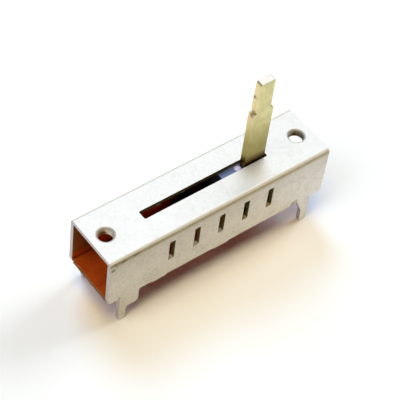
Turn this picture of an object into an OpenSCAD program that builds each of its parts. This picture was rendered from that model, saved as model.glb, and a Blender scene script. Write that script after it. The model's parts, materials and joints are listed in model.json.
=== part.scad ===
// Slide switch with a tall flat lever and five click positions.
// Millimetres. Z = 0 is the plane of the four leg tips and the top plate is uppermost.
// X runs along the slide and Y across it. The lever stands in its last position, at +X.

/* [Housing] */
// Length of the folded housing
housing_l = 35.3; // [34.6:0.1:40]
// Width over the two side walls
housing_w = 8.7; // [8.5:0.1:11]
// Height of a side wall, from the top face to its lower edge
wall_h = 8.4; // [8:0.1:11]
// Thickness of the folded sheet
sheet_t = 0.6; // [0.5:0.05:0.8]
// Outer radius of the two long bends, pressed tight in the die
bend_outer_r = 0.55; // [0.2:0.05:0.7]
// Inner radius of the two long bends
bend_inner_r = 0.1; // [0.05:0.05:0.3]
// Radius of the lower corners at the open ends
end_corner_r = 0.7; // [0.2:0.1:1]

/* [Legs] */
// How far the legs reach below the lower edge of the walls
leg_drop = 4.85; // [3.6:0.05:7]
// Width of the narrow part of a leg
leg_w = 1.1; // [0.9:0.05:1.5]
// Distance between the legs of one wall, centre to centre
leg_spacing = 30.4; // [30:0.1:31]
// Rounding at the leg tips
leg_tip_r = 0.5; // [0.1:0.05:0.5]
// Width of the standing shoulder beside the first leg of a wall
shoulder_w = 1.9; // [1:0.1:2.5]
// How far that shoulder reaches below the wall
shoulder_drop = 2.45; // [1:0.05:3]
// Width of the slanting web beside the other leg of a wall
web_w = 1.1; // [0.6:0.1:2]
// How far the slanting web reaches below the wall
web_drop = 2.3; // [1:0.1:3]
// Radius in the inside corners of the legs
root_r = 0.3; // [0.1:0.05:0.4]
// Rounding of the shoulder's free corner
shoulder_corner_r = 0.5; // [0.2:0.1:0.7]
// Radius of the relief punched into the outer root of the first leg
root_relief_r = 0.25; // [0.1:0.05:0.35]

/* [Clamping tabs] */
// Width of a tab folded under the board
tab_w = 2.3; // [1.5:0.1:2.6]
// Inner radius of a tab's fold
tab_bend_r = 0.1; // [0.05:0.05:0.3]
// Length of the flat lip under the board
tab_lip = 0.55; // [0.3:0.05:0.8]
// Place of a wall's outer tab, from the middle
outer_tab_x = 9.6; // [8.5:0.1:10.5]
// Place of a wall's inner tab, from the middle
inner_tab_x = 0.5; // [0:0.1:2]

/* [Slide] */
// Distance from one click position to the next
click_pitch = 4; // [3.5:0.05:4.05]
// Gap between the blade and each side of the top slot
slot_side_gap = 0.2; // [0.1:0.05:0.5]
// Gap left at each end of the slot for a blade in the middle of the slider
slot_end_gap = 0.26; // [0.2:0.02:0.6]
// Corner radius of the punched slots
slot_corner_r = 0.22; // [0.05:0.01:0.25]
// Width of the upright click slots in the walls
click_slot_w = 0.9; // [0.6:0.05:1.2]
// Height of the click slots
click_slot_h = 3.7; // [2.5:0.1:3.9]
// Depth of the click slots' upper ends below the top face
click_slot_drop = 1.88; // [1.6:0.02:2.2]

/* [Screw holes] */
// Distance between the two threaded holes
screw_spacing = 30.8; // [30.4:0.1:32]
// Radius of the threaded holes inside the thread
screw_hole_r = 1.025; // [0.8:0.025:1.3]
// Depth of the drawn collar round a hole, from the top face
collar_h = 1.2; // [0.9:0.05:1.6]
// Wall thickness of the drawn collar
collar_wall = 0.4; // [0.25:0.05:0.5]
// Rounding that the punch leaves at the mouth of a hole
mouth_r = 0.4; // [0.1:0.05:0.4]

/* [Board] */
// How far the board stays short of each open end
board_end_gap = 0.15; // [0:0.05:0.5]
// Thickness of the board
board_t = 0.8; // [0.5:0.05:1.2]
// Gap between the board and each wall
board_gap = 0.1; // [0.05:0.01:0.2]
// Width of the ear that stands in a notch of the wall
ear_w = 1; // [0.6:0.1:1.2]
// Width of the wall's edge between an ear's notch and the slanting web
ear_land = 0.06; // [0.02:0.02:0.6]
// Gap on each side of an ear in its notch
ear_gap = 0.06; // [0.02:0.01:0.15]

/* [Fixed contacts] */
// Thickness of the pads and the common rails
contact_t = 0.25; // [0.15:0.05:0.4]
// Length of one throw pad
pad_l = 2.6; // [2:0.1:3.2]
// Width of one throw pad
pad_w = 1.2; // [0.9:0.1:1.3]
// Distance of the throw pads from the middle
pad_y = 2.4; // [2.2:0.05:2.6]
// Width of a common rail
rail_w = 0.8; // [0.5:0.1:1]
// Distance of the common rails from the middle
rail_y = 0.8; // [0.6:0.05:1]
// Length of a rail beyond its outer wiping point
rail_overrun = 0.5; // [0.2:0.1:1]
// Distance from a rail's wiping length to its rivet
rail_tail = 2.6; // [1.5:0.1:3]
// Radius of the rivet shanks through the board
shank_r = 0.35; // [0.2:0.05:0.45]
// Gap round a shank in the board
shank_gap = 0.04; // [0.01:0.01:0.1]
// Length of a solder lug below the board
lug_l = 2.8; // [1.5:0.1:3.4]
// Width of a solder lug
lug_w = 0.8; // [0.5:0.1:1]
// How far a lug's shoulders stand out on each side
lug_shoulder = 0.15; // [0.05:0.05:0.3]
// Thickness of a solder lug
lug_t = 0.4; // [0.25:0.05:0.5]

/* [Slider] */
// Length of the moulded slider
slider_l = 10.4; // [9:0.1:10.8]
// Gap between the slider and each wall
slider_side_gap = 0.25; // [0.1:0.05:0.4]
// Gap between the slider and the top plate
slider_top_gap = 0.1; // [0.05:0.01:0.2]
// Clear height under the slider, above the pads
slider_ground_gap = 1.2; // [1:0.1:1.5]
// Rounding of the slider's upright edges
slider_corner_r = 0.4; // [0.1:0.1:0.6]

/* [Lever] */
// Width of the blade
blade_w = 3.25; // [2.6:0.05:3.6]
// Thickness of the blade
blade_t = 1; // [0.7:0.05:1.1]
// How far the blade stands off the slider's middle, towards +X
blade_offset = -0.14; // [-0.18:0.02:0.18]
// Height of the blade above the top face
blade_h = 14.85; // [13:0.05:22]
// Height of the blade's shoulders above the top face
shoulder_h = 9.7; // [6:0.1:11]
// How far the shoulder nearer the middle steps in
inner_step = 0.35; // [0.2:0.05:0.7]
// How far the outer shoulder steps in
outer_step = 0.5; // [0.2:0.02:0.7]
// Height of the small upper step above the top face
upper_step_h = 12.4; // [11.5:0.1:12.8]
// How far the upper step steps in
upper_step = 0.1; // [0.05:0.05:0.3]
// Rounding of the blade's top corner nearer the middle
blade_top_r = 0.4; // [0.1:0.05:0.5]
// Radius of the corner reliefs at the steps
relief_r = 0.2; // [0.1:0.05:0.3]
// Width of the foot moulded into the slider
foot_w = 5.2; // [4.2:0.1:6]
// Height of the foot
foot_h = 1.2; // [0.8:0.1:1.4]
// Depth of the foot's lower face below the slider's top
foot_depth = 3.6; // [3:0.1:3.8]
// Gap between the foot and the moulding
foot_gap = 0.02; // [0.01:0.01:0.05]

/* [Moving contacts] */
// Length of a moving contact
bridge_l = 3.6; // [3:0.1:4]
// Thickness of its spring sheet
bridge_t = 0.25; // [0.15:0.05:0.3]
// Radius of its wiping dimples
dimple_r = 0.5; // [0.4:0.05:0.5]
// Distance of the dimples from its middle
dimple_x = 0.8; // [0.6:0.05:0.9]
// Gap between a dimple and the pad below
wipe_gap = 0.03; // [0.02:0.01:0.05]
// Margin of the sheet beyond the middle of its dimples
bridge_margin = 0.45; // [0.4:0.05:0.5]
// Depth of the slider's pocket round a moving contact
pocket_h = 0.7; // [0.6:0.05:0.8]
// Gap round a moving contact in its pocket
pocket_gap = 0.1; // [0.05:0.01:0.12]

/* [Springs] */
// Mean radius of a contact spring's coil
coil_r = 0.5; // [0.35:0.05:0.5]
// Radius of its wire
wire_r = 0.11; // [0.08:0.01:0.14]
// Turns of a contact spring
coil_turns = 5; // [3:1:7]
// Gap round a contact spring in its bore
spring_gap = 0.1; // [0.05:0.01:0.12]
// Length of a contact spring as fitted
spring_l = 2.9; // [2.5:0.1:3.2]
// Length of a click spring
leaf_l = 6.8; // [5:0.1:7.6]
// Thickness of a click spring
leaf_t = 0.18; // [0.1:0.01:0.25]
// Bow of a click spring between its ends
leaf_bow = 0.3; // [0.1:0.05:0.4]
// Length of the ridge that clicks into the slots
ridge_l = 1.6; // [1:0.1:2.4]
// Gap between the ridge and the wall while it rides between slots
ridge_gap = 0.1; // [0.05:0.01:0.2]
// Depth of the slider's side recess for a click spring
recess_depth = 0.85; // [0.7:0.05:0.9]
// Gap between a click spring and its recess
leaf_gap = 0.02; // [0.01:0.01:0.05]
// How far a click spring stays short of each end of the click slots
leaf_short = 0.45; // [0.1:0.05:0.8]

/* [Hidden] */
$fn = 48;

// Click positions, numbered 1 to 5 from -X to +X
positions = 5;
travel = (positions - 1) * click_pitch;
// Middle of the slider and the lever as they stand
rest_x = travel / 2;

// Heights
edge_z = leg_drop;
top_z = leg_drop + wall_h;
plate_under_z = top_z - sheet_t;
cap_z = plate_under_z - bend_inner_r;
board_z = edge_z - tab_bend_r;
board_top_z = board_z + board_t;
pad_top_z = board_top_z + contact_t;
slider_top_z = plate_under_z - slider_top_gap;
slider_z = pad_top_z + slider_ground_gap;
click_z = top_z - click_slot_drop - click_slot_h / 2;

// Widths
inner_w = housing_w - 2 * sheet_t;
slot_w = blade_t + 2 * slot_side_gap;
slot_l = travel + blade_w + 2 * slot_end_gap;
slider_w = inner_w - 2 * slider_side_gap;

// Inner side of each leg, and the place of the board's ears
leg_in = leg_spacing / 2 - leg_w / 2;
ear_x = leg_in - web_w - ear_land - ear_gap - ear_w / 2;

// Moving contacts
bridge_z = pad_top_z + wipe_gap + dimple_r;
bridge_mid_y = (pad_y + rail_y) / 2;
bridge_w = pad_y - rail_y + 2 * bridge_margin;
spring_z = bridge_z + bridge_t;
spring_bore_r = coil_r + wire_r + spring_gap;

// Click springs
leaf_h = click_slot_h - 2 * leaf_short;
leaf_seat_y = slider_w / 2 - recess_depth + leaf_gap + leaf_t / 2;
ridge_y = inner_w / 2 - ridge_gap - leaf_t / 2;
recess_margin = 0.1;

// Small features of the legs and the contacts
root_relief_out = 0.1;
root_relief_up = 0.05;
tip_r = min(leg_tip_r, leg_w / 2 - 0.02);
web_taper = 0.1;
contact_corner_r = 0.2;
lug_shoulder_w = lug_w + 2 * lug_shoulder;
lug_shoulder_h = 0.35;
lug_tip_l = 0.4;

// Sloping parts and rounding of the lever's steps
step_slope = 0.15;
blade_corner_r = 0.12;

// How far a cutting shape runs past the surface that it cuts
cut = 1;

function unit(v) = v / norm(v);

// The points of a round corner at b, between the sides to a and to c
function corner(a, b, c, r, steps = 6) =
    let (
        u = unit(a - b),
        w = unit(c - b),
        half = acos(u * w) / 2,
        centre = b + unit(u + w) * r / sin(half),
        start = b + u * r / tan(half) - centre,
        turn = (u[0] * w[1] - u[1] * w[0] > 0 ? -1 : 1) * (180 - 2 * half)
    )
    r <= 0 ? [b] : [
        for (i = [0 : steps])
        let (t = turn * i / steps)
        centre + [start[0] * cos(t) - start[1] * sin(t), start[0] * sin(t) + start[1] * cos(t)]
    ];

// An outline whose points are [x, z, corner radius]
function rounded(path) =
    let (n = len(path))
    [
        for (i = [0 : n - 1])
        let (
            before = path[(i + n - 1) % n],
            here = path[i],
            after = path[(i + 1) % n]
        )
        each corner([before[0], before[1]], [here[0], here[1]], [after[0], after[1]], here[2])
    ];

// Flat bar with round corners
module bar(l, w, r) {
    square([l - 2 * r, w], center = true);
    square([l, w - 2 * r], center = true);
    for (x = [-1, 1], y = [-1, 1])
        translate([x * (l / 2 - r), y * (w / 2 - r)]) circle(r);
}

// A flat shape drawn in X and Z, given its thickness along Y
module upright(y0, thickness) {
    translate([0, y0 + thickness, 0])
        rotate([90, 0, 0])
            linear_extrude(thickness) children();
}

// A flat shape drawn in Y and Z, drawn out along X
module along_x(x0, length) {
    translate([x0, 0, 0])
        rotate([90, 0, 90])
            linear_extrude(length) children();
}

// The same shape on both long sides, turned half round
module turned_pair() {
    for (angle = [0, 180])
        rotate([0, 0, angle]) children();
}

module housing_top() {
    along_x(-housing_l / 2, housing_l)
        difference() {
            union() {
                translate([-housing_w / 2, cap_z])
                    square([housing_w, top_z - bend_outer_r - cap_z]);
                translate([-housing_w / 2 + bend_outer_r, cap_z])
                    square([housing_w - 2 * bend_outer_r, top_z - cap_z]);
                for (side = [-1, 1])
                    translate([side * (housing_w / 2 - bend_outer_r), top_z - bend_outer_r])
                        circle(bend_outer_r);
            }
            translate([-inner_w / 2 + bend_inner_r, cap_z - cut])
                square([inner_w - 2 * bend_inner_r, plate_under_z - cap_z + cut]);
            translate([-inner_w / 2, cap_z - cut])
                square([inner_w, cut]);
            for (side = [-1, 1])
                translate([side * (inner_w / 2 - bend_inner_r), cap_z])
                    circle(bend_inner_r);
        }
}

// One wall with its two legs: a broad shoulder by the first leg, a slanting web by the other
module wall_outline() {
    end = housing_l / 2;
    leg_out = leg_in + leg_w;
    notch_in = ear_x - ear_w / 2 - ear_gap;
    notch_out = ear_x + ear_w / 2 + ear_gap;
    difference() {
        polygon(rounded([
            [-end, cap_z, 0],
            [-end, edge_z, end_corner_r],
            [-leg_out, edge_z, 0],
            [-leg_out, 0, tip_r],
            [-leg_in, 0, tip_r],
            [-leg_in, edge_z - shoulder_drop, root_r],
            [-leg_in + shoulder_w, edge_z - shoulder_drop, shoulder_corner_r],
            [-leg_in + shoulder_w, edge_z, root_r],
            [notch_in, edge_z, 0],
            [notch_in, board_top_z, 0],
            [notch_out, board_top_z, 0],
            [notch_out, edge_z, 0],
            [leg_in - web_w, edge_z, 0],
            [leg_in - web_taper, edge_z - web_drop, root_r],
            [leg_in, 0, tip_r],
            [leg_out, 0, tip_r],
            [leg_out, edge_z, root_r],
            [end, edge_z, end_corner_r],
            [end, cap_z, 0]
        ]));
        translate([-leg_out - root_relief_out, edge_z + root_relief_up])
            circle(root_relief_r);
    }
}

// A tab that carries on from the wall, folds inwards and grips the board from below
module clamping_tab(x) {
    tab_outer_r = sheet_t + tab_bend_r;
    along_x(x - tab_w / 2, tab_w) {
        intersection() {
            translate([-housing_w / 2 + tab_outer_r, edge_z])
                difference() {
                    circle(tab_outer_r);
                    circle(tab_bend_r);
                }
            translate([-housing_w / 2, edge_z - tab_outer_r])
                square(tab_outer_r);
        }
        translate([-housing_w / 2 + tab_outer_r, edge_z - tab_outer_r])
            square([tab_lip, sheet_t]);
    }
}

module screw_collar(x) {
    translate([x, 0, top_z - collar_h])
        cylinder(r = screw_hole_r + collar_wall, h = collar_h - sheet_t / 2);
}

module screw_hole(x) {
    translate([x, 0, top_z - collar_h - cut])
        cylinder(r = screw_hole_r, h = collar_h + 2 * cut);
    // The rounded mouth
    translate([x, 0, top_z - mouth_r])
        rotate_extrude()
            difference() {
                square([screw_hole_r + mouth_r, mouth_r + cut]);
                translate([screw_hole_r + mouth_r, 0]) circle(mouth_r);
            }
}

module click_slots() {
    for (i = [0 : positions - 1])
        translate([i * click_pitch - rest_x, click_z])
            bar(click_slot_w, click_slot_h, slot_corner_r);
}

module housing() {
    color("gainsboro")
        difference() {
            union() {
                housing_top();
                turned_pair() {
                    upright(-housing_w / 2, sheet_t) wall_outline();
                    clamping_tab(-outer_tab_x);
                    clamping_tab(inner_tab_x);
                }
                for (side = [-1, 1])
                    screw_collar(side * screw_spacing / 2);
            }
            translate([0, 0, plate_under_z - cut])
                linear_extrude(sheet_t + 2 * cut) bar(slot_l, slot_w, slot_corner_r);
            upright(-housing_w / 2 - cut, housing_w + 2 * cut) click_slots();
            for (side = [-1, 1])
                screw_hole(side * screw_spacing / 2);
        }
}

// Punched laminate board, gripped between the wall notches and the folded tabs
module base_board() {
    board_l = housing_l - 2 * board_end_gap;
    board_w = inner_w - 2 * board_gap;
    color("saddlebrown")
        translate([0, 0, board_z])
            linear_extrude(board_t)
                difference() {
                    union() {
                        square([board_l, board_w], center = true);
                        turned_pair()
                            translate([ear_x - ear_w / 2, -housing_w / 2])
                                square([ear_w, housing_w / 2]);
                    }
                    for (side = [-1, 1]) {
                        for (i = [0 : positions - 1])
                            translate([i * click_pitch - rest_x, side * pad_y])
                                circle(shank_r + shank_gap);
                        translate([rail_rivet_x(), side * rail_y])
                            circle(shank_r + shank_gap);
                    }
                }
}

// Shank through the board and the solder lug staked under it
module solder_lug(x, y) {
    translate([x, y, board_z])
        cylinder(r = shank_r, h = board_t + contact_t / 2);
    upright(y - lug_t / 2, lug_t)
        polygon([
            [x - lug_shoulder_w / 2, board_z],
            [x - lug_shoulder_w / 2, board_z - lug_shoulder_h],
            [x - lug_w / 2, board_z - lug_shoulder_h],
            [x - lug_w / 2, board_z - lug_l + lug_tip_l],
            [x - lug_w / 4, board_z - lug_l],
            [x + lug_w / 4, board_z - lug_l],
            [x + lug_w / 2, board_z - lug_l + lug_tip_l],
            [x + lug_w / 2, board_z - lug_shoulder_h],
            [x + lug_shoulder_w / 2, board_z - lug_shoulder_h],
            [x + lug_shoulder_w / 2, board_z]
        ]);
}

// One throw contact: side is -1 at the front and 1 at the back
module throw_contact(side, position) {
    x = (position - 1) * click_pitch - rest_x;
    color("goldenrod") {
        translate([x, side * pad_y, board_top_z])
            linear_extrude(contact_t) bar(pad_l, pad_w, contact_corner_r);
        solder_lug(x, side * pad_y);
    }
}

function rail_half() = rest_x + dimple_x + rail_overrun;
function rail_rivet_x() = -rail_half() - rail_tail;

module common_rail(side) {
    rail_l = rail_half() - rail_rivet_x() + rail_w;
    color("goldenrod") {
        translate([rail_half() - rail_l / 2, side * rail_y, board_top_z])
            linear_extrude(contact_t) bar(rail_l, rail_w, contact_corner_r);
        solder_lug(rail_rivet_x(), side * rail_y);
    }
}

// Blade and foot, drawn in X and Z about the slider's middle. grow widens the foot's part.
module lever_outline(grow = 0) {
    inner = blade_offset - blade_w / 2;
    outer = blade_offset + blade_w / 2;
    upper_in = inner + inner_step;
    upper_out = outer - outer_step;
    foot_z = slider_top_z - foot_depth;
    difference() {
        polygon(rounded([
            [inner - grow, foot_z + foot_h + grow, 0],
            [-foot_w / 2 - grow, foot_z + foot_h + grow, 0],
            [-foot_w / 2 - grow, foot_z - grow, 0],
            [foot_w / 2 + grow, foot_z - grow, 0],
            [foot_w / 2 + grow, foot_z + foot_h + grow, 0],
            [outer + grow, foot_z + foot_h + grow, 0],
            [outer + grow, top_z + shoulder_h - step_slope, blade_corner_r],
            [upper_out, top_z + shoulder_h, 0],
            [upper_out, top_z + blade_h, blade_corner_r],
            [upper_in + upper_step, top_z + blade_h, blade_top_r],
            [upper_in + upper_step, top_z + upper_step_h, 0],
            [upper_in, top_z + upper_step_h - step_slope, 0],
            [upper_in, top_z + shoulder_h, 0],
            [inner - grow, top_z + shoulder_h - step_slope, blade_corner_r]
        ]));
        translate([upper_in, top_z + shoulder_h]) circle(relief_r);
    }
}

module lever() {
    color("darkkhaki")
        translate([rest_x, 0, 0])
            upright(-blade_t / 2, blade_t) lever_outline();
}

module slider() {
    color("dimgray")
        difference() {
            translate([rest_x, 0, slider_z])
                linear_extrude(slider_top_z - slider_z)
                    bar(slider_l, slider_w, slider_corner_r);
            translate([rest_x, 0, 0])
                upright(-blade_t / 2 - foot_gap, blade_t + 2 * foot_gap)
                    lever_outline(foot_gap);
            for (side = [-1, 1]) {
                // Pocket and spring bore of a moving contact
                translate([rest_x, side * bridge_mid_y, slider_z - cut])
                    linear_extrude(pocket_h + cut)
                        square([bridge_l + 2 * pocket_gap, bridge_w + 2 * pocket_gap], center = true);
                translate([rest_x, side * bridge_mid_y, slider_z])
                    cylinder(r = spring_bore_r, h = spring_z + spring_l - slider_z);
                // Side recess of a click spring
                translate([rest_x, side * (slider_w / 2 + cut - recess_depth / 2), click_z])
                    cube([leaf_l + 2 * recess_margin, recess_depth + 2 * cut,
                          leaf_h + 2 * recess_margin], center = true);
            }
        }
}

// Spring sheet with two upturned ends, and four dimples that wipe the rail and the pads
module moving_contact(side) {
    flange_z = slider_z + pocket_h - pocket_gap;
    color("gold")
        translate([rest_x, side * bridge_mid_y, 0]) {
            translate([-bridge_l / 2, -bridge_w / 2, bridge_z])
                cube([bridge_l, bridge_w, bridge_t]);
            for (end = [-1, 1])
                translate([end * (bridge_l - bridge_t) / 2 - bridge_t / 2, -bridge_w / 2, bridge_z])
                    cube([bridge_t, bridge_w, flange_z - bridge_z]);
            for (x = [-dimple_x, dimple_x], y = [-1, 1])
                translate([x, y * (pad_y - rail_y) / 2, bridge_z])
                    rotate_extrude()
                        intersection() {
                            circle(dimple_r);
                            translate([0, -dimple_r]) square([dimple_r, dimple_r + bridge_t / 2]);
                        }
        }
}

// Coil spring swept along its helix, as rings of points joined into one skin
module contact_spring(side) {
    sides = 8;
    rings = coil_turns * 14;
    low_z = spring_z + wire_r + leaf_gap;
    rise = spring_l - 2 * wire_r - 2 * leaf_gap;
    points = [
        for (i = [0 : rings])
        let (turn = 360 * coil_turns * i / rings, z = low_z + rise * i / rings)
        for (k = [0 : sides - 1])
        let (r = coil_r + wire_r * cos(360 * k / sides))
        [r * cos(turn), r * sin(turn), z + wire_r * sin(360 * k / sides)]
    ];
    skin = [
        for (i = [0 : rings - 1], k = [0 : sides - 1])
        let (next = (k + 1) % sides)
        [i * sides + k, i * sides + next, (i + 1) * sides + next, (i + 1) * sides + k]
    ];
    caps = [
        [for (k = [sides - 1 : -1 : 0]) k],
        [for (k = [0 : sides - 1]) rings * sides + k]
    ];
    color("silver")
        translate([rest_x, side * bridge_mid_y, 0])
            polyhedron(points, concat(skin, caps));
}

// Middle line of a click spring: a shallow bow with a rounded ridge half way along
function leaf_y(x) =
    let (
        bow = leaf_bow * (1 - pow(2 * x / leaf_l, 2)),
        ridge = abs(x) < ridge_l / 2 ? (1 + cos(360 * x / ridge_l)) / 2 : 0
    )
    leaf_seat_y + bow + ridge * (ridge_y - leaf_seat_y - leaf_bow);

module click_spring(side) {
    steps = 34;
    line = [for (i = [0 : steps]) leaf_l * (i / steps - 0.5)];
    outer = [for (x = line) [x, leaf_y(x) + leaf_t / 2]];
    inner = [for (i = [steps : -1 : 0]) [line[i], leaf_y(line[i]) - leaf_t / 2]];
    color("silver")
        translate([rest_x, 0, click_z - leaf_h / 2])
            linear_extrude(leaf_h)
                scale([1, side]) polygon(concat(outer, inner));
}

housing();
base_board();
common_rail(-1);  // common_rail_front
common_rail(1);  // common_rail_back
throw_contact(-1, 1);  // throw_contact_front_1
throw_contact(-1, 2);  // throw_contact_front_2
throw_contact(-1, 3);  // throw_contact_front_3
throw_contact(-1, 4);  // throw_contact_front_4
throw_contact(-1, 5);  // throw_contact_front_5
throw_contact(1, 1);  // throw_contact_back_1
throw_contact(1, 2);  // throw_contact_back_2
throw_contact(1, 3);  // throw_contact_back_3
throw_contact(1, 4);  // throw_contact_back_4
throw_contact(1, 5);  // throw_contact_back_5
slider();
lever();
moving_contact(-1);  // moving_contact_front
moving_contact(1);  // moving_contact_back
contact_spring(-1);  // contact_spring_front
contact_spring(1);  // contact_spring_back
click_spring(-1);  // click_spring_front
click_spring(1);  // click_spring_back
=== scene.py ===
# %% [markdown]
# # A slide switch with a tall flat lever
# The switch is a channel of plated sheet steel, folded over a board of orange-brown laminate.
# A black slider runs inside it and carries a flat lever out through a slot in the top plate.
# The whole mechanism comes finished from the CAD frame. This lesson gives each piece its
# finish, softens the edges that a press leaves soft, and adds the small things that a stamping
# shop adds last: screw threads and rivet heads. It also adds a pale dab that paints a highlight.

# %% Load the finished frame
import json
import math

import bpy
from mathutils import Matrix, Vector


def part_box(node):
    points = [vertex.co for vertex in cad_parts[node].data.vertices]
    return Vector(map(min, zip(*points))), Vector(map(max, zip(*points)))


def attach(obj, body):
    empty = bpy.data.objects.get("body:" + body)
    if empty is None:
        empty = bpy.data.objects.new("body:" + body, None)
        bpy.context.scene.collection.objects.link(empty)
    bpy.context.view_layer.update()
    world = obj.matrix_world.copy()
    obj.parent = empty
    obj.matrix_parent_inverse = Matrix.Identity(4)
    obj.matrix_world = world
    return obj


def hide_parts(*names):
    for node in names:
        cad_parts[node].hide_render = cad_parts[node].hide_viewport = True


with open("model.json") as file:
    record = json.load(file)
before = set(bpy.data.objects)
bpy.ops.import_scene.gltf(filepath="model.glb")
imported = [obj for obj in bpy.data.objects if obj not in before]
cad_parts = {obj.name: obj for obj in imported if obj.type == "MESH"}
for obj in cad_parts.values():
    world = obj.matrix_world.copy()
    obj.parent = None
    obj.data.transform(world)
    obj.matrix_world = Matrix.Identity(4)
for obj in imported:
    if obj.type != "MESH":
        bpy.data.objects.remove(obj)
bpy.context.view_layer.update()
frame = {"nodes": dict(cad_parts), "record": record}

MM = 0.001

# %% [markdown]
# ## Sizes that the lesson works from
# The pieces give their own boxes, and the record gives the two threaded holes. Each later step
# reads these values, so a longer housing or another hole spacing carries its threads and marks
# along with it. Marks and tints have places of their own, written from the nearest end or edge.
# The boxes are in metres. What is taken from them below, such as wall and top, is in
# millimetres, as are all sizes in the materials.

# %% Measure the frame
housing_low, housing_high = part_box("housing")
board_low, board_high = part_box("base_board")
_, slider_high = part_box("slider")
lever_low, lever_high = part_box("lever")
rail_low, rail_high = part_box("common_rail_front")
holes = [m for m in frame["record"]["mounts"] if m["kind"] == "threaded_hole"]
hole_radius = holes[0]["dims"]["r_mm"] * MM
near_end, half_length = housing_low.x / MM, housing_high.x / MM
wall, top = housing_high.y / MM, housing_high.z / MM
board_bottom, board_top = board_low.z / MM, board_high.z / MM
slider_side, slider_top = slider_high.y / MM, slider_high.z / MM
print("housing, mm:", [round(v / MM, 2) for v in (housing_high - housing_low)])
print("threaded holes at x =", [round(m["pos_m"][0] / MM, 2) for m in holes])

# %% [markdown]
# ## The camera
# A small part is usually pictured from a steep three-quarter angle, with a long lens, so that
# its long edges stay almost parallel. The camera is placed by azimuth, elevation and distance
# about a point on the top plate, and is then rolled a few degrees.

# %% Place the camera
CAMERA_AZIMUTH = -43.444
CAMERA_ELEVATION = 50.318
CAMERA_ROLL = 8.448
CAMERA_DISTANCE = 191.901 * MM
LENS = 135.68
AIM_X = -2.157 * MM
AIM_Y = -1.941 * MM
aim = Vector((AIM_X, AIM_Y, housing_high.z))


def direction(azimuth, elevation):
    """The unit vector from a point towards a place seen at this azimuth and elevation."""
    around, up = math.radians(azimuth), math.radians(elevation)
    return Vector((math.sin(around) * math.cos(up), -math.cos(around) * math.cos(up), math.sin(up)))


def add_camera(azimuth, elevation, roll, distance, target, lens):
    back = direction(azimuth, elevation)
    data = bpy.data.cameras.new("camera")
    data.lens = lens
    data.clip_start = 0.01
    data.clip_end = 20
    camera = bpy.data.objects.new("camera", data)
    bpy.context.scene.collection.objects.link(camera)
    turn = back.to_track_quat("Z", "Y").to_matrix() @ Matrix.Rotation(math.radians(roll), 3, "Z")
    camera.matrix_world = Matrix.Translation(target + back * distance) @ turn.to_4x4()
    bpy.context.scene.camera = camera
    return camera


camera = add_camera(
    CAMERA_AZIMUTH, CAMERA_ELEVATION, CAMERA_ROLL, CAMERA_DISTANCE, aim, LENS
)
bpy.context.scene.view_settings.view_transform = "Standard"
print("camera stands at, mm:", [round(v / MM, 1) for v in camera.location])

# %% [markdown]
# ## A small kit for materials
# Every finish here is a node tree on Object coordinates. The pieces are a few millimetres
# across, so the coordinates are multiplied to millimetres first, and every size below is then
# a size that could be measured on the part.

# %% Node helpers
def node(tree, kind, inputs=(), **settings):
    """Add a shader node, set it up, and feed its inputs with values or links."""
    made = tree.nodes.new(kind)
    for key, value in settings.items():
        setattr(made, key, value)
    for key, value in dict(inputs).items():
        if isinstance(value, bpy.types.NodeSocket):
            tree.links.new(value, made.inputs[key])
        else:
            made.inputs[key].default_value = value
    return made


def maths(tree, operation, a, b=0.0):
    return node(tree, "ShaderNodeMath", {0: a, 1: b}, operation=operation).outputs[0]


def times(tree, first, *others):
    for other in others:
        first = maths(tree, "MULTIPLY", first, other)
    return first


def raised(tree, base, value, share):
    """base, and on top of it this share of value."""
    return maths(tree, "ADD", base, times(tree, value, share))


def blended(tree, a, share, b):
    """This share of a, and the rest of b."""
    return maths(tree, "ADD", times(tree, a, share), times(tree, b, 1 - share))


def mixed(tree, factor, a, b, blend="MIX"):
    a, b = (c if isinstance(c, bpy.types.NodeSocket) else (*c, 1) for c in (a, b))
    made = node(tree, "ShaderNodeMix", {0: factor}, data_type="RGBA", blend_type=blend)
    for index, colour in ((6, a), (7, b)):
        if isinstance(colour, bpy.types.NodeSocket):
            tree.links.new(colour, made.inputs[index])
        else:
            made.inputs[index].default_value = colour
    return made.outputs[2]


def fade(tree, value, start, end, smooth=True):
    """0 at start, 1 at end, clamped."""
    return node(tree, "ShaderNodeMapRange",
                {"Value": value, "From Min": start, "From Max": end},
                interpolation_type="SMOOTHSTEP" if smooth else "LINEAR").outputs[0]


def band(tree, height, opening, closing):
    """1 in a band under the top plate. It opens and closes over these depths."""
    opened = fade(tree, height, top - opening[0], top - opening[1])
    closed = fade(tree, height, top - closing[1], top - closing[0])
    return times(tree, opened, closed)


def new_material(name, metallic, roughness, specular=0.5):
    material = bpy.data.materials.new(name)
    material.use_nodes = True
    tree = material.node_tree
    tree.nodes.clear()
    output = tree.nodes.new("ShaderNodeOutputMaterial")
    shader = node(tree, "ShaderNodeBsdfPrincipled",
                  {"Metallic": metallic, "Roughness": roughness, "Specular IOR Level": specular})
    tree.links.new(shader.outputs["BSDF"], output.inputs["Surface"])
    return material, tree, shader


def millimetres(tree):
    place = node(tree, "ShaderNodeTexCoord").outputs["Object"]
    return node(tree, "ShaderNodeVectorMath", {0: place, "Scale": 1 / MM}, operation="SCALE").outputs[0]


def noise(tree, place, size, detail=2.0, stretch=(1, 1, 1)):
    """Noise whose grains measure about this many millimetres."""
    scale = tuple(1 / (size * s) for s in stretch)
    mapped = node(tree, "ShaderNodeMapping", {"Vector": place, "Scale": scale}).outputs[0]
    settings = {"Vector": mapped, "Scale": 1.0, "Detail": detail}
    return node(tree, "ShaderNodeTexNoise", settings).outputs[0]


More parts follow.
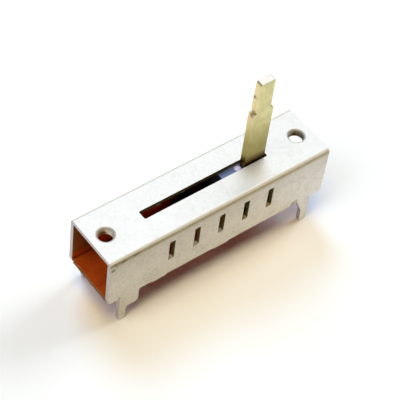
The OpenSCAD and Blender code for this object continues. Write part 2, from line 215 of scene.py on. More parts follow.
def spot(tree, place, centre, radii):
    """1 at the centre of an ellipsoid in millimetres, fading to 0 at its surface."""
    away = node(tree, "ShaderNodeVectorMath", {0: place, 1: centre}, operation="SUBTRACT").outputs[0]
    scaled = node(tree, "ShaderNodeVectorMath", {0: away, 1: radii}, operation="DIVIDE").outputs[0]
    length = node(tree, "ShaderNodeVectorMath", {0: scaled}, operation="LENGTH").outputs["Value"]
    return fade(tree, length, 1.0, 0.35)


def bump(tree, shader, height, depth_mm):
    made = node(tree, "ShaderNodeBump", {"Height": height, "Distance": depth_mm * MM})
    tree.links.new(made.outputs[0], shader.inputs["Normal"])


def axes(tree, place):
    return node(tree, "ShaderNodeSeparateXYZ", {0: place}).outputs


print("material helpers ready")

# %% [markdown]
# ## Plated steel
# The housing is stamped from steel strip and plated in a barrel with the other small parts. The
# plating is bright but not a mirror. It copies the grain of the strip, which runs along the
# housing, it is mottled where the bath took unevenly, and tumbling leaves small dark scuffs on
# the corners. So the colour varies over millimetres and over tenths, and the roughness follows
# the grain.

# %% Tones of the plating and where they lie
PLATING_PALE = (0.66, 0.655, 0.635)
PLATING_DULL = (0.54, 0.52, 0.475)
# painted reflection on the walls, brighter towards the lever's end, dimmer and yellower towards the
# open end
WALL_REFLECTION_BRIGHT = (1.20, 1.15, 1.08)
WALL_REFLECTION_DIM = (1.04, 1.00, 0.91)
# painted shade, faint and grey, darkest near the top of the wall
WALL_TOP_SHADE = (0.88, 0.86, 0.84)
WALL_TOP_SHADE_DEPTHS = (0.8, 5.5)
# a painted highlight on the crest of the bend
BEND_HIGHLIGHT = (1.0, 0.98, 0.90)
CREST_BAND = ((0.01, 0.05), (0.2, 0.36))
# a dark olive line of painted shade in the bend
BEND_SHADE_LINE = (0.66, 0.60, 0.42)
BEND_SHADE_BAND = ((0.2, 0.34), (0.55, 1.1))
# painted light in the open end's bore, painted shade in the lever end's; the second colour also draws
# the tick
OPEN_END_BORE_LIGHT = (1.42, 1.16, 0.70)
LEVER_END_BORE_SHADE_AND_TICK = (0.50, 0.46, 0.24)
BORE_LIGHT_SHADE_FROM_MOUTH = Vector((-0.4, 0.3, -0.75))
BORE_LIGHT_SHADE_RADII = (1.9, 1.9, 0.75)
# a pool of painted shade at the back of each bore
BORE_SHADE_POOL = (0.34, 0.20, 0.12)
POOL_FROM_MOUTH = Vector((0.25, 0.95, -0.95))
POOL_RADII = (0.8, 0.5, 0.38)
PALE_PATCH = (1.11, 1.105, 1.10)
PATCH_FROM_LEVER = 0.8
PATCH_Y = -2.1
PATCH_RADII = (5.0, 2.6, 0.4)
TICK_FROM_END = 11.9
TICK_Y = 1.36
TICK_RADII = (0.16, 0.34, 0.2)
SCUFF = (0.085, 0.07, 0.032)
SCUFF_BAND = ((0.15, 0.35), (0.4, 2.2))
SCUFF_STRENGTH = 0.75
# from the open end, below the top, and the three radii
CORNER_SCUFFS = [
    (0.5, 1.45, (0.5, 0.5, 0.42)),
    (2.0, 0.65, (0.8, 0.5, 0.32)),
    (3.9, 0.5, (1.0, 0.5, 0.2)),
]
print("places set for", len(CORNER_SCUFFS), "corner scuffs")


# %% Tones of the walls and the bend
def bend_and_wall(tree, colour, along, height, on_wall):
    # painted reflection: the walls are drawn brighter towards the lever's end and dimmer and yellower
    # towards the open end
    reflection_dimming = fade(tree, along, -near_end * 0.9, near_end * 0.4)
    wall_reflection_tone = mixed(tree, reflection_dimming, WALL_REFLECTION_BRIGHT, WALL_REFLECTION_DIM)
    colour = mixed(tree, on_wall, colour, wall_reflection_tone, blend="MULTIPLY")
    # a painted highlight along the outside of the bend
    crest = band(tree, height, *CREST_BAND)
    colour = mixed(tree, times(tree, crest, on_wall), colour, BEND_HIGHLIGHT)
    # painted shade: a faint grey one that thins down from the top of the wall, and a dark olive line in
    # the bend
    wall_top_shade = fade(tree, height, top - WALL_TOP_SHADE_DEPTHS[1], top - WALL_TOP_SHADE_DEPTHS[0])
    colour = mixed(tree, times(tree, wall_top_shade, on_wall), colour, WALL_TOP_SHADE, blend="MULTIPLY")
    line = band(tree, height, *BEND_SHADE_BAND)
    return mixed(tree, times(tree, line, on_wall), colour, BEND_SHADE_LINE, blend="MULTIPLY")


print("tones of the walls and the bend ready")


# %% Painted light and shade in the bores and on the plate, and a tick
def bores_and_plate(tree, colour, place):
    # painted light and shade: the open end's bore is drawn brighter and warmer all round, the lever
    # end's darker, and each has a pool of painted shade at the back
    for hole, painted_tone in zip(holes, (OPEN_END_BORE_LIGHT, LEVER_END_BORE_SHADE_AND_TICK)):
        mouth = Vector((hole["pos_m"][0] / MM, hole["pos_m"][1] / MM, top))
        bore_light_shade = spot(tree, place, mouth + BORE_LIGHT_SHADE_FROM_MOUTH, BORE_LIGHT_SHADE_RADII)
        colour = mixed(tree, bore_light_shade, colour, painted_tone, blend="MULTIPLY")
        pool = spot(tree, place, mouth + POOL_FROM_MOUTH, POOL_RADII)
        colour = mixed(tree, pool, colour, BORE_SHADE_POOL, blend="MULTIPLY")
    # with the lever at rest the plate mirrors it, and a paler patch makes up for that
    patch_x = lever_low.x / MM + PATCH_FROM_LEVER
    patch = spot(tree, place, (patch_x, PATCH_Y, top), PATCH_RADII)
    colour = mixed(tree, patch, colour, PALE_PATCH, blend="MULTIPLY")
    # a short dark tick behind the slot
    tick = spot(tree, place, (near_end + TICK_FROM_END, TICK_Y, top), TICK_RADII)
    return mixed(tree, times(tree, tick, 0.5), colour, LEVER_END_BORE_SHADE_AND_TICK)


print("tints of the bores and the plate ready")


# %% Scuffs on the front corner of the open end
def scuff_marks(tree, place):
    """Ragged specks that fade away along the bend, and three soft scuffs."""
    along, across, height = axes(tree, place)
    smear = fade(tree, noise(tree, place, 0.9, 3.0), 0.42, 0.66)
    speck = fade(tree, noise(tree, place, 0.16, 3.0), 0.45, 0.58)
    ragged = times(tree, raised(tree, 0.4, smear, 0.6), speck)
    from_corner = fade(tree, along, near_end + 9.0, near_end + 1.0, smooth=False)
    marks = times(tree, band(tree, height, *SCUFF_BAND), from_corner, ragged)
    for from_end, below_top, radii in CORNER_SCUFFS:
        scuff = spot(tree, place, (near_end + from_end, -wall, top - below_top), radii)
        marks = maths(tree, "MAXIMUM", marks, times(tree, scuff, SCUFF_STRENGTH))
    return times(tree, marks, fade(tree, across, 0, -wall + 0.5))


print("scuffs ready")


# %% Plated steel for the housing
def plated_steel():
    material, tree, shader = new_material("plated_steel", 0.68, 0.3)
    place = millimetres(tree)
    along, across, height = axes(tree, place)
    cloud = noise(tree, place, 2.4, 2.0)
    speckle = noise(tree, place, 0.42, 2.5)
    mottle = blended(tree, cloud, 0.35, speckle)
    on_wall = fade(tree, maths(tree, "ABSOLUTE", across), wall - 0.5, wall - 0.1)
    patchy = times(tree, fade(tree, mottle, 0.40, 0.75), raised(tree, 0.45, on_wall, 0.55))
    colour = mixed(tree, patchy, PLATING_PALE, PLATING_DULL)
    colour = bend_and_wall(tree, colour, along, height, on_wall)
    colour = bores_and_plate(tree, colour, place)
    marks = scuff_marks(tree, place)
    colour = mixed(tree, times(tree, marks, 0.95), colour, SCUFF)
    tree.links.new(colour, shader.inputs["Base Color"])
    grain = noise(tree, place, 0.16, 2.0, stretch=(7, 1, 1))
    rough = raised(tree, raised(tree, 0.44, grain, 0.12), marks, 0.15)
    tree.links.new(rough, shader.inputs["Roughness"])
    bump(tree, shader, maths(tree, "ADD", grain, speckle), 0.0015)
    return material


housing_finish = plated_steel()
print("made", housing_finish.name)

# %% [markdown]
# ## Sheared edges
# Where the press cut the strip, the edge is a torn, matt band. It was plated with the rest, but
# it scatters light instead of reflecting it, and looks cooler and flatter than the faces. The
# burr along each cut holds a little press oil, and draws a thin broken olive line round every
# slot, hole, leg and end. That second finish goes on the rounded corners only.

# %% Plating on the sheared edges
SHEARED_PALE = (0.60, 0.565, 0.57)
SHEARED_DARK = (0.44, 0.40, 0.39)
BURR_OILY = (0.36, 0.31, 0.15)
BURR_DRY = (0.58, 0.54, 0.42)
BURR_SOAKED = (0.15, 0.11, 0.035)


def sheared_edge():
    material, tree, shader = new_material("sheared_edge", 1.0, 0.5)
    place = millimetres(tree)
    tear = noise(tree, place, 0.12, 3.0)
    colour = mixed(tree, fade(tree, tear, 0.35, 0.7), SHEARED_PALE, SHEARED_DARK)
    tree.links.new(colour, shader.inputs["Base Color"])
    tree.links.new(raised(tree, 0.42, tear, 0.2), shader.inputs["Roughness"])
    bump(tree, shader, tear, 0.01)
    return material


def oily_burr():
    material, tree, shader = new_material("oily_burr", 0.8, 0.45)
    place = millimetres(tree)
    broken = noise(tree, place, 0.5, 3.0)
    colour = mixed(tree, fade(tree, broken, 0.4, 0.65), BURR_OILY, BURR_DRY)
    # it runs down and gathers along the lower edges and the legs
    low = fade(tree, axes(tree, place)[2], board_bottom + 0.6, board_bottom + 0.3)
    colour = mixed(tree, low, colour, BURR_SOAKED)
    tree.links.new(colour, shader.inputs["Base Color"])
    bump(tree, shader, broken, 0.004)
    return material


edge_finish = sheared_edge()
burr_finish = oily_burr()
print("made", edge_finish.name, "and", burr_finish.name)

# %% [markdown]
# ## The inside of the channel
# The inside is the same plating, drawn darker and browner as painted shade. Further in it is
# drawn redder, a painted reflection where the board's colour shines back, and in the middle,
# where the least light reaches, it is drawn nearly black as painted shade.

# %% Plating inside the channel
# painted shade: the inside is drawn darker and browner than the outside plating
INSIDE_SHADE_PALE = (0.47, 0.36, 0.13)
INSIDE_SHADE_DEEP = (0.38, 0.28, 0.10)
# painted reflection of the board, just above its face
BOARD_REFLECTION_LOW = (0.80, 0.34, 0.06)
# tint, and the distances from the middle between which it comes in: two redder tints of painted
# reflection of the board, then the painted shade of the middle
INWARD_REFLECTION_AND_SHADE = [
    ((0.98, 0.32, 0.07), half_length - 2.2, half_length - 4.2),
    ((0.95, 0.09, 0.02), half_length - 6, half_length - 9),
    ((0.03, 0.012, 0.008), 5.5, 0.5),
]


def inner_plating_painted_shade():
    material, tree, shader = new_material("inner_plating_painted_shade", 1.0, 0.4)
    place = millimetres(tree)
    painted_tone = noise(tree, place, 1.5, 3.0)
    along, _, height = axes(tree, place)
    from_middle = maths(tree, "ABSOLUTE", along)
    colour = mixed(tree, fade(tree, painted_tone, 0.3, 0.7), INSIDE_SHADE_PALE, INSIDE_SHADE_DEEP)
    above_board = fade(tree, height, board_top + 1.6, board_top + 0.6)
    colour = mixed(tree, above_board, colour, BOARD_REFLECTION_LOW)
    for tint, start, full in INWARD_REFLECTION_AND_SHADE:
        colour = mixed(tree, fade(tree, from_middle, start, full), colour, tint)
    # the legs and the skirt below the board take the outside's tone, without the painted shade
    below_board = fade(tree, height, board_bottom + 0.2, board_bottom - 0.2)
    colour = mixed(tree, below_board, colour, PLATING_DULL)
    tree.links.new(colour, shader.inputs["Base Color"])
    tree.links.new(raised(tree, 0.32, painted_tone, 0.14), shader.inputs["Roughness"])
    bump(tree, shader, painted_tone, 0.004)
    return material


inside_shaded_finish = inner_plating_painted_shade()
print("made", inside_shaded_finish.name)

# %% [markdown]
# ## The yellow lever
# The lever is a plain blade stamped from thicker strip and given a yellow passivated plating.
# Its faces keep faint vertical drag lines from the die, and wear has left the corners paler and
# the tip greyer than the faces. Towards the foot the blade is drawn darker and olive, a painted
# shade, and two brown spots of painted shade sit on it. Its left narrow face takes a warmer,
# paler copy of the plating, a painted light.

# %% Yellow plating
LEVER_YELLOW = (0.69, 0.64, 0.32)
LEVER_DULL = (0.58, 0.52, 0.245)
WORN_PALE = (0.82, 0.79, 0.60)
WORN_DULL = (0.70, 0.66, 0.45)
# painted light: a warmer, paler copy of the yellow plating for the blade's left narrow face
LEFT_FACE_LIT_PALE = (0.79, 0.70, 0.36)
LEFT_FACE_LIT_DULL = (0.86, 0.60, 0.34)
# painted shade, darker and more olive towards the lever's foot
BLADE_LOW_SHADE = (0.73, 0.70, 0.52)
LEFT_FACE_LOW_SHADE = (0.67, 0.68, 0.39)
FOOT_SHADE = (0.49, 0.42, 0.19)
FOOT_SHADE_DEEP = (0.50, 0.40, 0.24)
POLISHED_TIP = (0.53, 0.50, 0.45)
# two brown spots of painted shade on the blade
LEVER_SHADE_BROWN = (0.25, 0.12, 0.05)
LEVER_SHADE_STRENGTH = 0.75
LEVER_SHADE_SPOTS = [
    ((lever_low.x / MM + 1.1, lever_high.y / MM - 0.25, lever_high.z / MM - 2.6), (0.4, 0.32, 0.35)),
    ((lever_low.x / MM + 0.7, lever_low.y / MM + 0.35, lever_high.z / MM - 5.4), (0.7, 0.5, 0.7)),
]


def yellow_plating(name, pale, dull, roughness, low_shade=BLADE_LOW_SHADE):
    material, tree, shader = new_material(name, 1.0, roughness)
    place = millimetres(tree)
    height = axes(tree, place)[2]
    drag = noise(tree, place, 0.22, 2.0, stretch=(1, 1, 9))
    cloud = noise(tree, place, 1.6, 2.0)
    colour = mixed(tree, fade(tree, blended(tree, drag, 0.35, cloud), 0.38, 0.68), pale, dull)
    # painted shade, darker and more olive towards the foot: each tint comes in between two heights
    # above the top plate
    for tint, start, full in ((low_shade, 10, 3), (FOOT_SHADE, 2.2, 0), (FOOT_SHADE_DEEP, 1.7, 0.5)):
        low = fade(tree, height, top + start, top + full)
        colour = mixed(tree, low, colour, tint, blend="MULTIPLY")
    # the two brown spots of painted shade
    for centre, radii in LEVER_SHADE_SPOTS:
        shade_spot = spot(tree, place, centre, radii)
        colour = mixed(tree, times(tree, shade_spot, LEVER_SHADE_STRENGTH), colour, LEVER_SHADE_BROWN)
    tip = lever_high.z / MM
    colour = mixed(tree, fade(tree, height, tip - 0.12, tip - 0.04), colour, POLISHED_TIP)
    tree.links.new(colour, shader.inputs["Base Color"])
    tree.links.new(raised(tree, roughness - 0.05, drag, 0.12), shader.inputs["Roughness"])
    bump(tree, shader, drag, 0.003)
    return material


lever_finish = yellow_plating("yellow_plating", LEVER_YELLOW, LEVER_DULL, 0.3)
worn_finish = yellow_plating("worn_yellow_plating", WORN_PALE, WORN_DULL, 0.34)
lever_left_face_finish = yellow_plating("yellow_plated_lit_left_face", LEFT_FACE_LIT_PALE, LEFT_FACE_LIT_DULL, 0.42, low_shade=LEFT_FACE_LOW_SHADE)
print("made", lever_finish.name + ",", worn_finish.name, "and", lever_left_face_finish.name)

# %% [markdown]
# ## Laminate
# The board is paper laminate, bonded with a dark orange-brown resin. Its face is smooth and
# faintly clouded, and the punched edges show the torn paper layers as thin tan lines, paler
# and more matt than the face because no resin film covers them.

# %% Laminate for the board
LAMINATE = (0.44, 0.069, 0.007)
LAMINATE_DARK = (0.33, 0.047, 0.005)
LAYER_PALE = (0.31, 0.135, 0.048)
LAYER_DARK = (0.20, 0.08, 0.028)
EAR_PALE = (0.62, 0.55, 0.46)


def laminate():
    material, tree, shader = new_material("laminate", 0.0, 0.6, 0.1)
    place = millimetres(tree)
    cloud = noise(tree, place, 1.8, 3.0)
    fibre = noise(tree, place, 0.12, 2.0, stretch=(6, 1, 1))
    grain = fade(tree, blended(tree, cloud, 0.6, fibre), 0.35, 0.7)
    colour = mixed(tree, grain, LAMINATE, LAMINATE_DARK)
    tree.links.new(colour, shader.inputs["Base Color"])
    bump(tree, shader, fibre, 0.004)
    return material


def laminate_edge():
    material, tree, shader = new_material("laminate_edge", 0.0, 0.85, 0.03)
    place = millimetres(tree)
    layers = noise(tree, place, 0.09, 2.0, stretch=(12, 12, 1))
    colour = mixed(tree, fade(tree, layers, 0.4, 0.62), LAYER_PALE, LAYER_DARK)
    # the ears come out flush with the walls and are pale
    outward = maths(tree, "ABSOLUTE", axes(tree, place)[1])
    colour = mixed(tree, fade(tree, outward, wall - 0.4, wall - 0.1), colour, EAR_PALE)
    tree.links.new(colour, shader.inputs["Base Color"])
    bump(tree, shader, layers, 0.015)
    return material


board_finish = laminate()
board_edge_finish = laminate_edge()
print("made", board_finish.name, "and", board_edge_finish.name)

# %% [markdown]
# ## Black moulding
# The slider is moulded in black acetal, with a faint sheen and a fine spark-eroded texture from
# the mould. Its top face is drawn a dull slate blue, in streaks along the travel, and its gloss is
# tinted blue: a painted reflection of cool light.

# %% Black moulding for the slider
MOULDED = (0.014, 0.016, 0.022)
MOULDED_STREAK = (0.028, 0.032, 0.042)
# painted reflection: the top face drawn slate blue for the cool light it mirrors
TOP_REFLECTION_BLUE = (0.070, 0.100, 0.220)
TOP_REFLECTION_STREAK = (0.170, 0.205, 0.440)


def black_moulding():
    material, tree, shader = new_material("black_moulding", 0.0, 0.35, 0.8)
    # the blue tint on the gloss also stands in for cool light
    shader.inputs["Specular Tint"].default_value = (0.7, 0.85, 1.0, 1)
    place = millimetres(tree)
    texture = noise(tree, place, 0.07, 2.0)
    streak_noise = noise(tree, place, 0.5, 2.0, stretch=(8, 1, 1))
    streaks = fade(tree, streak_noise, 0.45, 0.8)
    body = mixed(tree, streaks, MOULDED, MOULDED_STREAK)
    top_reflection = mixed(tree, streaks, TOP_REFLECTION_BLUE, TOP_REFLECTION_STREAK)
    on_top = fade(tree, axes(tree, place)[2], slider_top - 0.3, slider_top - 0.1)
    tree.links.new(mixed(tree, on_top, body, top_reflection), shader.inputs["Base Color"])
    tree.links.new(raised(tree, 0.28, streak_noise, 0.2), shader.inputs["Roughness"])
    bump(tree, shader, texture, 0.004)
    return material


slider_finish = black_moulding()
print("made", slider_finish.name)

# %% [markdown]
# ## Contact metals
# The rails and the throw contacts are silver over brass. They tarnish a little, in soft yellow
# and grey clouds. The moving contacts are bronze spring sheet with fine marks along the travel,
# and the springs are steel wire and strip with an oily blue-grey skin.

# %% Finishes for the contacts and springs
def contact_metal(name, bright, tarnished, size, roughness):
    material, tree, shader = new_material(name, 1.0, roughness)
    place = millimetres(tree)
    cloud = noise(tree, place, size, 3.0)
    wipe = noise(tree, place, 0.08, 2.0, stretch=(10, 1, 1))
    colour = mixed(tree, fade(tree, cloud, 0.4, 0.7), bright, tarnished)
    tree.links.new(colour, shader.inputs["Base Color"])
    tree.links.new(raised(tree, roughness - 0.08, wipe, 0.16), shader.inputs["Roughness"])
    bump(tree, shader, wipe, 0.003)
    return material


# bright, tarnished, size of the clouds, roughness
CONTACT_METALS = {
    "silvered_brass": ((0.80, 0.76, 0.66), (0.60, 0.52, 0.36), 0.9, 0.34),
    "contact_bronze": ((0.74, 0.50, 0.30), (0.52, 0.32, 0.18), 0.7, 0.3),
    "spring_steel": ((0.50, 0.50, 0.51), (0.33, 0.34, 0.37), 0.5, 0.32),
}
CONTACT_FINISHES = {name: contact_metal(name, *look) for name, look in CONTACT_METALS.items()}
print("made", ", ".join(sorted(CONTACT_FINISHES)))

# %% Give the carried-over nodes their finishes
FINISHES = dict(CONTACT_FINISHES, plated_steel=housing_finish, laminate=board_finish,
                black_moulding=slider_finish, yellow_plated_steel=lever_finish)
for name, piece in frame["nodes"].items():
    for material_slot in piece.material_slots:
        material_slot.material = FINISHES[material_slot.name.split(".")[0]]
print("finished", len(frame["nodes"]), "nodes")

# %% [markdown]
# ## Soft edges
# A pressed or moulded piece never has a knife edge: the die rolls one side over, tumbling rounds
# the other, and the light catches on that narrow band. The CAD solids have sharp edges. Each
# large piece is therefore copied, its loose triangles are merged and its flat faces dissolved
# back to single faces, and a Bevel modifier of a few hundredths of a millimetre is applied. The
# copy then stands in for the CAD node.

# %% Edit and modifier helpers
SMOOTH_ANGLE = math.radians(32)
ALL = (bpy.ops.mesh.select_all, {"action": "SELECT"})


def only(piece):
    bpy.ops.object.select_all(action="DESELECT")
    piece.select_set(True)
    bpy.context.view_layer.objects.active = piece


def edit(piece, *steps):
    """Run mesh steps on one piece in edit mode. Each is a function and its settings."""
    only(piece)
    bpy.ops.object.mode_set(mode="EDIT")
    for step, settings in steps:
        step(**settings)
    bpy.ops.object.mode_set(mode="OBJECT")


def apply_modifier(piece, kind, **settings):
    only(piece)
    modifier = piece.modifiers.new(kind.lower(), kind)
    for key, value in settings.items():
        setattr(modifier, key, value)
    bpy.ops.object.modifier_apply(modifier=modifier.name)


print("mesh helpers ready")


# %% Bevelled stand-ins
def stand_in(node_name, piece_name, body):
    """A clean copy of a CAD node: merged, with its flat faces dissolved."""
    source = frame["nodes"][node_name]
    piece = bpy.data.objects.new(piece_name, source.data.copy())
    bpy.context.scene.collection.objects.link(piece)
    edit(piece, ALL,
         (bpy.ops.mesh.remove_doubles, {"threshold": 0.002 * MM}),
         (bpy.ops.mesh.dissolve_limited, {"angle_limit": math.radians(1)}))
    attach(piece, body)
    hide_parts(node_name)
    return piece


def second_finish(piece, finish, chosen):
    """Give the faces for which chosen(centre in mm, normal) is true a second finish."""
    piece.data.materials.append(finish)
    index = len(piece.data.materials) - 1
    count = 0
    for face in piece.data.polygons:
        if chosen(face.center / MM, face.normal):
            face.material_index = index
            count += 1
    return count


def soften(piece, width_mm, angle=35, segments=2, material=-1):
    apply_modifier(piece, "BEVEL", width=width_mm * MM, segments=segments, limit_method="ANGLE",
                   angle_limit=math.radians(angle), material=material)
    only(piece)
    bpy.ops.object.shade_smooth_by_angle(angle=SMOOTH_ANGLE)
    apply_modifier(piece, "WEIGHTED_NORMAL", keep_sharp=True)
    print(piece.name, "has", len(piece.data.polygons), "faces")


print("stand-in helpers ready")

# %% [markdown]
# ## Painted shade and light in the slots
# The cut edges of the slots are drawn as a dark olive skin, a painted shade, so each slot has a
# dark rim. Only the lower end of a slot in the wall, which faces up, is drawn pale and matt, a
# painted light.

# %% Painted shade on the slot edges, painted light on the slot feet
# painted shade on the cut edges of the slots
SLOT_SHADE_OLIVE = (0.19, 0.155, 0.035)
SLOT_SHADE_DARK = (0.13, 0.10, 0.022)
# painted light on the upward-facing lower ends of the wall slots
SLOT_FOOT_LIGHT_PALE = (0.92, 0.86, 0.76)
SLOT_FOOT_LIGHT_DULL = (0.78, 0.72, 0.62)


def slot_edge_painted_shade():
    material, tree, shader = new_material("slot_edge_painted_shade", 0.2, 0.6, 0.2)
    place = millimetres(tree)
    cloud = noise(tree, place, 0.3, 2.0)
    colour = mixed(tree, fade(tree, cloud, 0.35, 0.7), SLOT_SHADE_OLIVE, SLOT_SHADE_DARK)
    tree.links.new(colour, shader.inputs["Base Color"])
    bump(tree, shader, cloud, 0.006)
    return material


def slot_foot_painted_light():
    material, tree, shader = new_material("slot_foot_painted_light", 0.1, 0.7, 0.2)
    foot_light_cloud = noise(tree, millimetres(tree), 0.3, 2.0)
    tree.links.new(mixed(tree, foot_light_cloud, SLOT_FOOT_LIGHT_PALE, SLOT_FOOT_LIGHT_DULL), shader.inputs["Base Color"])
    return material


slot_shade_finish = slot_edge_painted_shade()
slot_foot_light_finish = slot_foot_painted_light()
print("made", slot_shade_finish.name, "and", slot_foot_light_finish.name)

# %% Which faces of the housing get a second finish
END_SKIN = 0.01
BEND_REACH = 1.2
WALL_SLOTS_FROM_END = 1
HOLE_CLEARANCE = 2 * hole_radius / MM
hole_x = abs(holes[0]["pos_m"][0]) / MM


def cut_in_wall(centre, normal):
    return abs(centre.y) > slider_side + 0.2 and abs(normal.y) < 0.02


def is_sheared(centre, normal):
    if abs(normal.x) > 0.99 and abs(centre.x) > half_length - END_SKIN:
        return True
    return cut_in_wall(centre, normal) and centre.z < board_top


def is_inside(centre, normal):
    if centre.z > slider_top and abs(normal.z) < 0.5:
        return False
    under_plate = normal.z < -0.7 and centre.z > slider_top - 0.2
    faces_inward = abs(centre.y) > slider_side and centre.y * normal.y < -0.7
    return under_plate or (faces_inward and centre.z > board_top)


def is_slot_foot(centre, normal):
    return cut_in_wall(centre, normal) and normal.z > 0.4 and centre.z > board_top


def is_slot_edge(centre, normal):
    if abs(centre.y) < 1 and centre.z > slider_top and abs(centre.x) < hole_x - HOLE_CLEARANCE:
        return abs(normal.z) < 0.02
    if normal.z > 0.4 or abs(centre.x) > half_length - WALL_SLOTS_FROM_END:
        return False
    return cut_in_wall(centre, normal) and board_top < centre.z < top - BEND_REACH


HOUSING_FINISHES = [
    ("sheared", edge_finish, is_sheared),
    ("inside", inside_shaded_finish, is_inside),
    ("slot edge", slot_shade_finish, is_slot_edge),
    ("slot foot", slot_foot_light_finish, is_slot_foot),
]
print("second finishes on the housing:", len(HOUSING_FINISHES))

# %% The housing's stand-in
housing = stand_in("housing", "housing_sheet", "housing")
for kind, finish, chosen in HOUSING_FINISHES:
    print(kind, "faces:", second_finish(housing, finish, chosen))
housing.data.materials.append(burr_finish)
soften(housing, 0.07, material=len(housing.data.materials) - 1)

# %% The lever's, the slider's and the board's stand-ins
# the faces that look left take the painted-light copy of the yellow plating
def is_lever_left_face(centre, normal):
    return normal.x < -0.9


def is_board_edge(centre, normal):
    return abs(normal.z) < 0.1


lever = stand_in("lever", "lever_blade", "slider")
lever.data.materials.append(worn_finish)
print("lever edge faces:", second_finish(lever, lever_left_face_finish, is_lever_left_face))
soften(lever, 0.09, segments=3, material=1)

slider = stand_in("slider", "slider_block", "slider")
soften(slider, 0.1)

board = stand_in("base_board", "laminate_board", "housing")
print("board edge faces:", second_finish(board, board_edge_finish, is_board_edge))
soften(board, 0.04)

# %% [markdown]
# ## Screw threads
# Each drawn collar is tapped. The thread's ridge is one small triangle, carried round and up
# the bore by a Screw modifier. Nearly all of it is buried in the sheet and the collar. Its crest
# stands less than a hundredth of a millimetre inside the core radius, so the bore keeps its size.

# %% Threads in the two bores
PITCH = 0.45
TURNS = 1.5
STEPS_PER_TURN = 40
RIDGE_RADIUS = 0.08
RIDGE_BURIED = 0.02


def thread(name, hole):
    bpy.ops.object.select_all(action="DESELECT")
    centre = Vector(hole["pos_m"])
    start = centre.z - PITCH * MM * TURNS / 2
    middle = (hole_radius / MM + RIDGE_RADIUS * 2 / 3 + RIDGE_BURIED) * MM
    bpy.ops.mesh.primitive_circle_add(
        vertices=3, radius=RIDGE_RADIUS * MM, fill_type="NOTHING",
        location=(middle, 0, start), rotation=(math.radians(90), math.radians(-90), 0))
    ridge = bpy.context.object
    ridge.name = name
    bpy.ops.object.transform_apply(location=True, rotation=True, scale=True)
    steps = int(STEPS_PER_TURN * TURNS)
    apply_modifier(ridge, "SCREW", angle=math.radians(360 * TURNS), steps=steps,
                   screw_offset=PITCH * MM * TURNS, render_steps=steps, axis="Z")
    edit(ridge, ALL,
         (bpy.ops.mesh.fill_holes, {"sides": 3}),
         (bpy.ops.mesh.normals_make_consistent, {"inside": False}),
         (bpy.ops.transform.translate, {"value": (centre.x, centre.y, 0)}))
    ridge.data.materials.clear()
    ridge.data.materials.append(housing_finish)
    bpy.ops.object.shade_smooth_by_angle(angle=SMOOTH_ANGLE)
    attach(ridge, "housing")
    print(name, "runs from z =", round(start / MM, 2), "mm, faces:", len(ridge.data.polygons))


for name, hole in zip(("thread_open_end", "thread_lever_end"), holes):
    thread(name, hole)

# %% [markdown]
# ## Rivet heads on the rails
# Each common rail is held at its open end by a rivet, whose shank is also its solder lug. The
# press spreads the end of the shank into a low head with a dimple in it. One head is modelled
# and the second is a copy with its own mesh.

# %% Staked heads
HEAD_RADIUS = 0.36
HEAD_HEIGHT = 0.14
HEAD_MIDDLE = 0.06
HEAD_ROUND = 0.07
RIM = 0.12
DIMPLE = 0.05


def select_top(piece, above=-1.0):
    """Select the faces that look up and lie above a height, in metres."""
    for face in piece.data.polygons:
        face.select = face.normal.z > 0.9 and face.center.z > above


def staked_head(name, x, y, z):
    bpy.ops.object.select_all(action="DESELECT")
    bpy.ops.mesh.primitive_cylinder_add(vertices=32, radius=HEAD_RADIUS * MM, depth=HEAD_HEIGHT * MM,
                                        location=(x, y, z + HEAD_MIDDLE * MM))
    head = bpy.context.object
    head.name = name
    bpy.ops.object.transform_apply(location=True, rotation=True, scale=True)
    edit(head, (bpy.ops.mesh.select_all, {"action": "DESELECT"}))
    select_top(head)
    edit(head, (bpy.ops.mesh.bevel, {"offset": HEAD_ROUND * MM, "segments": 3, "affect": "EDGES"}))
    highest = max(face.center.z for face in head.data.polygons)
    select_top(head, above=highest - 0.001 * MM)
    edit(head, (bpy.ops.mesh.inset, {"thickness": RIM * MM, "depth": -DIMPLE * MM}))
    bpy.ops.object.shade_smooth_by_angle(angle=math.radians(40))
    head.data.materials.clear()
    head.data.materials.append(CONTACT_FINISHES["silvered_brass"])
    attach(head, "housing")
    return head


rail_y = (rail_low.y + rail_high.y) / 2
rivet_x = rail_low.x + (rail_high.y - rail_low.y) / 2
front_head = staked_head("rivet_head_front", rivet_x, rail_y, rail_high.z)
back_head = front_head.copy()
back_head.data = front_head.data.copy()
back_head.name = "rivet_head_back"
bpy.context.scene.collection.objects.link(back_head)
edit(back_head, ALL, (bpy.ops.transform.translate, {"value": (0, -2 * rail_y, 0)}))
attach(back_head, "housing")
print("rivet heads at x =", round(rivet_x / MM, 2), "mm")

# %% [markdown]
# ## A pale dab by the lever's foot
# A pale, glossy, lilac dab beside the lever's foot is a painted highlight for a bright spot
# there. It is a flattened ball that moves with the slider.

# %% The pale dab, a painted highlight
DAB_HIGHLIGHT_PALE = (0.68, 0.62, 0.98)
DAB_HIGHLIGHT_DULL = (0.56, 0.50, 0.82)
DAB_RADIUS = 0.43
DAB_FROM_LEVER = 0.2
DAB_Y = 0.12
DAB_SHAPE = (1.1, 0.95, 0.18)
DAB_SWELLING = 0.03


def grease():
    material, tree, shader = new_material("grease", 0.0, 0.22, 0.6)
    cloud = noise(tree, millimetres(tree), 0.2, 2.0)
    tree.links.new(mixed(tree, cloud, DAB_HIGHLIGHT_PALE, DAB_HIGHLIGHT_DULL), shader.inputs["Base Color"])
    bump(tree, shader, cloud, 0.01)
    return material


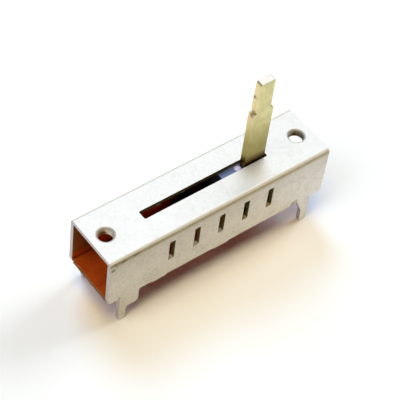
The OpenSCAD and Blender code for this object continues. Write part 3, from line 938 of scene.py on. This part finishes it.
# the pale dab is a painted highlight beside the lever's foot
bpy.ops.object.select_all(action="DESELECT")
bpy.ops.mesh.primitive_uv_sphere_add(
    segments=24, ring_count=12, radius=DAB_RADIUS * MM,
    location=(lever_low.x + DAB_FROM_LEVER * MM, DAB_Y * MM, slider_high.z))
dab = bpy.context.object
dab.name = "highlight_dab"
dab.scale = DAB_SHAPE
bpy.ops.object.transform_apply(location=True, rotation=True, scale=True)
apply_modifier(dab, "DISPLACE", strength=DAB_SWELLING * MM, texture=None, mid_level=0.5)
dab.data.materials.append(grease())
bpy.ops.object.shade_smooth()
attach(dab, "slider")
# the dab made here is the painted highlight
print("grease dab made")

# %% [markdown]
# ## The floor
# The switch stands on a plain white sheet of paper, which takes its shadow. It is one large
# plane with a matt material of a single white, because any pattern in it would compete with the
# soft edges of the shadow.

# %% Floor
bpy.ops.object.select_all(action="DESELECT")
bpy.ops.mesh.primitive_plane_add(size=6, location=(0, 0, 0))
floor = bpy.context.object
floor.name = "floor"
floor_material, floor_tree, floor_shader = new_material("floor", 0.0, 0.9, 0.0)
floor_shader.inputs["Base Color"].default_value = (0.95, 0.95, 0.95, 1)
floor.data.materials.append(floor_material)
print("floor laid")

# %% [markdown]
# ## The light
# Four soft lamps make the shadows. A warm lamp hangs almost overhead, a little to the left, and
# draws the dark line under the wall. Two pale ones stand left and right. The left one lights the
# open end, and the right one is low and reaches under the lever's end. A cool window is behind,
# and where the body hides it, in front of the wall, the sheet is left warm. Together they are
# nearly neutral, and bright enough to leave the sheet white away from the shadows.
# None of them is seen in the plating. What the plate mirrors is a large pale panel, which gives
# gloss only, and a dim room.

# %% The room
ROOM_DIM = (0.40, 0.38, 0.34)
ROOM_FRONT = (0.46, 0.37, 0.22)
ROOM_CEILING = (1.2, 1.2, 1.2)
ROOM_AMBIENT = (0.008, 0.008, 0.008)
BACKDROP = (1, 1, 1)
world = bpy.data.worlds.new("world")
bpy.context.scene.world = world
world.use_nodes = True
world.cycles.sampling_method = "NONE"
room_tree = world.node_tree
look = node(room_tree, "ShaderNodeTexCoord").outputs["Generated"]
_, look_back, look_up = axes(room_tree, look)
mirrored = mixed(room_tree, fade(room_tree, look_back, 0.15, -0.35), ROOM_DIM, ROOM_FRONT)
mirrored = mixed(room_tree, fade(room_tree, look_up, 0.80, 0.98), mirrored, ROOM_CEILING)
ray = node(room_tree, "ShaderNodeLightPath").outputs
room = mixed(room_tree, ray["Is Glossy Ray"], ROOM_AMBIENT, mirrored)
room = mixed(room_tree, ray["Is Camera Ray"], room, BACKDROP)
room_tree.links.new(room, room_tree.nodes["Background"].inputs["Color"])
print("room set")

# %% The lamps
LAMP_DISTANCE = 1.5


def soft_lamp(name, azimuth, elevation, radius, share, colour):
    """A round lamp aimed at the switch. share is its part of a white floor's full brightness."""
    data = bpy.data.lights.new(name, "AREA")
    data.shape = "DISK"
    data.size = 2 * radius
    data.color = colour
    lamp = bpy.data.objects.new(name, data)
    bpy.context.scene.collection.objects.link(lamp)
    back = direction(azimuth, elevation)
    turn = back.to_track_quat("Z", "Y").to_matrix().to_4x4()
    lamp.matrix_world = Matrix.Translation(back * LAMP_DISTANCE) @ turn
    spread = (LAMP_DISTANCE ** 2 + radius ** 2) / radius ** 2
    radiance = share * spread / math.sin(math.radians(elevation))
    data.energy = radiance * math.pi ** 2 * radius ** 2
    print(name, "radiance", round(radiance, 2))
    return lamp


# azimuth, elevation, radius, share, colour
SHADOW_LAMPS = {
    "overhead_lamp": (293, 77.5, 0.36, 0.44, (1.0, 0.75, 0.28)),
    "left_lamp": (270, 52, 0.40, 0.225, (0.92, 0.93, 1.0)),
    "side_lamp": (92, 36, 0.40, 0.285, (0.84, 0.92, 1.0)),
    "window": (166, 52, 0.38, 0.455, (0.40, 0.64, 1.0)),
}
for name, settings in SHADOW_LAMPS.items():
    soft_lamp(name, *settings).visible_glossy = False
soft_lamp("plate_panel", 136, 62, 0.97, 0.43, (0.935, 1.0, 1.08)).visible_diffuse = False
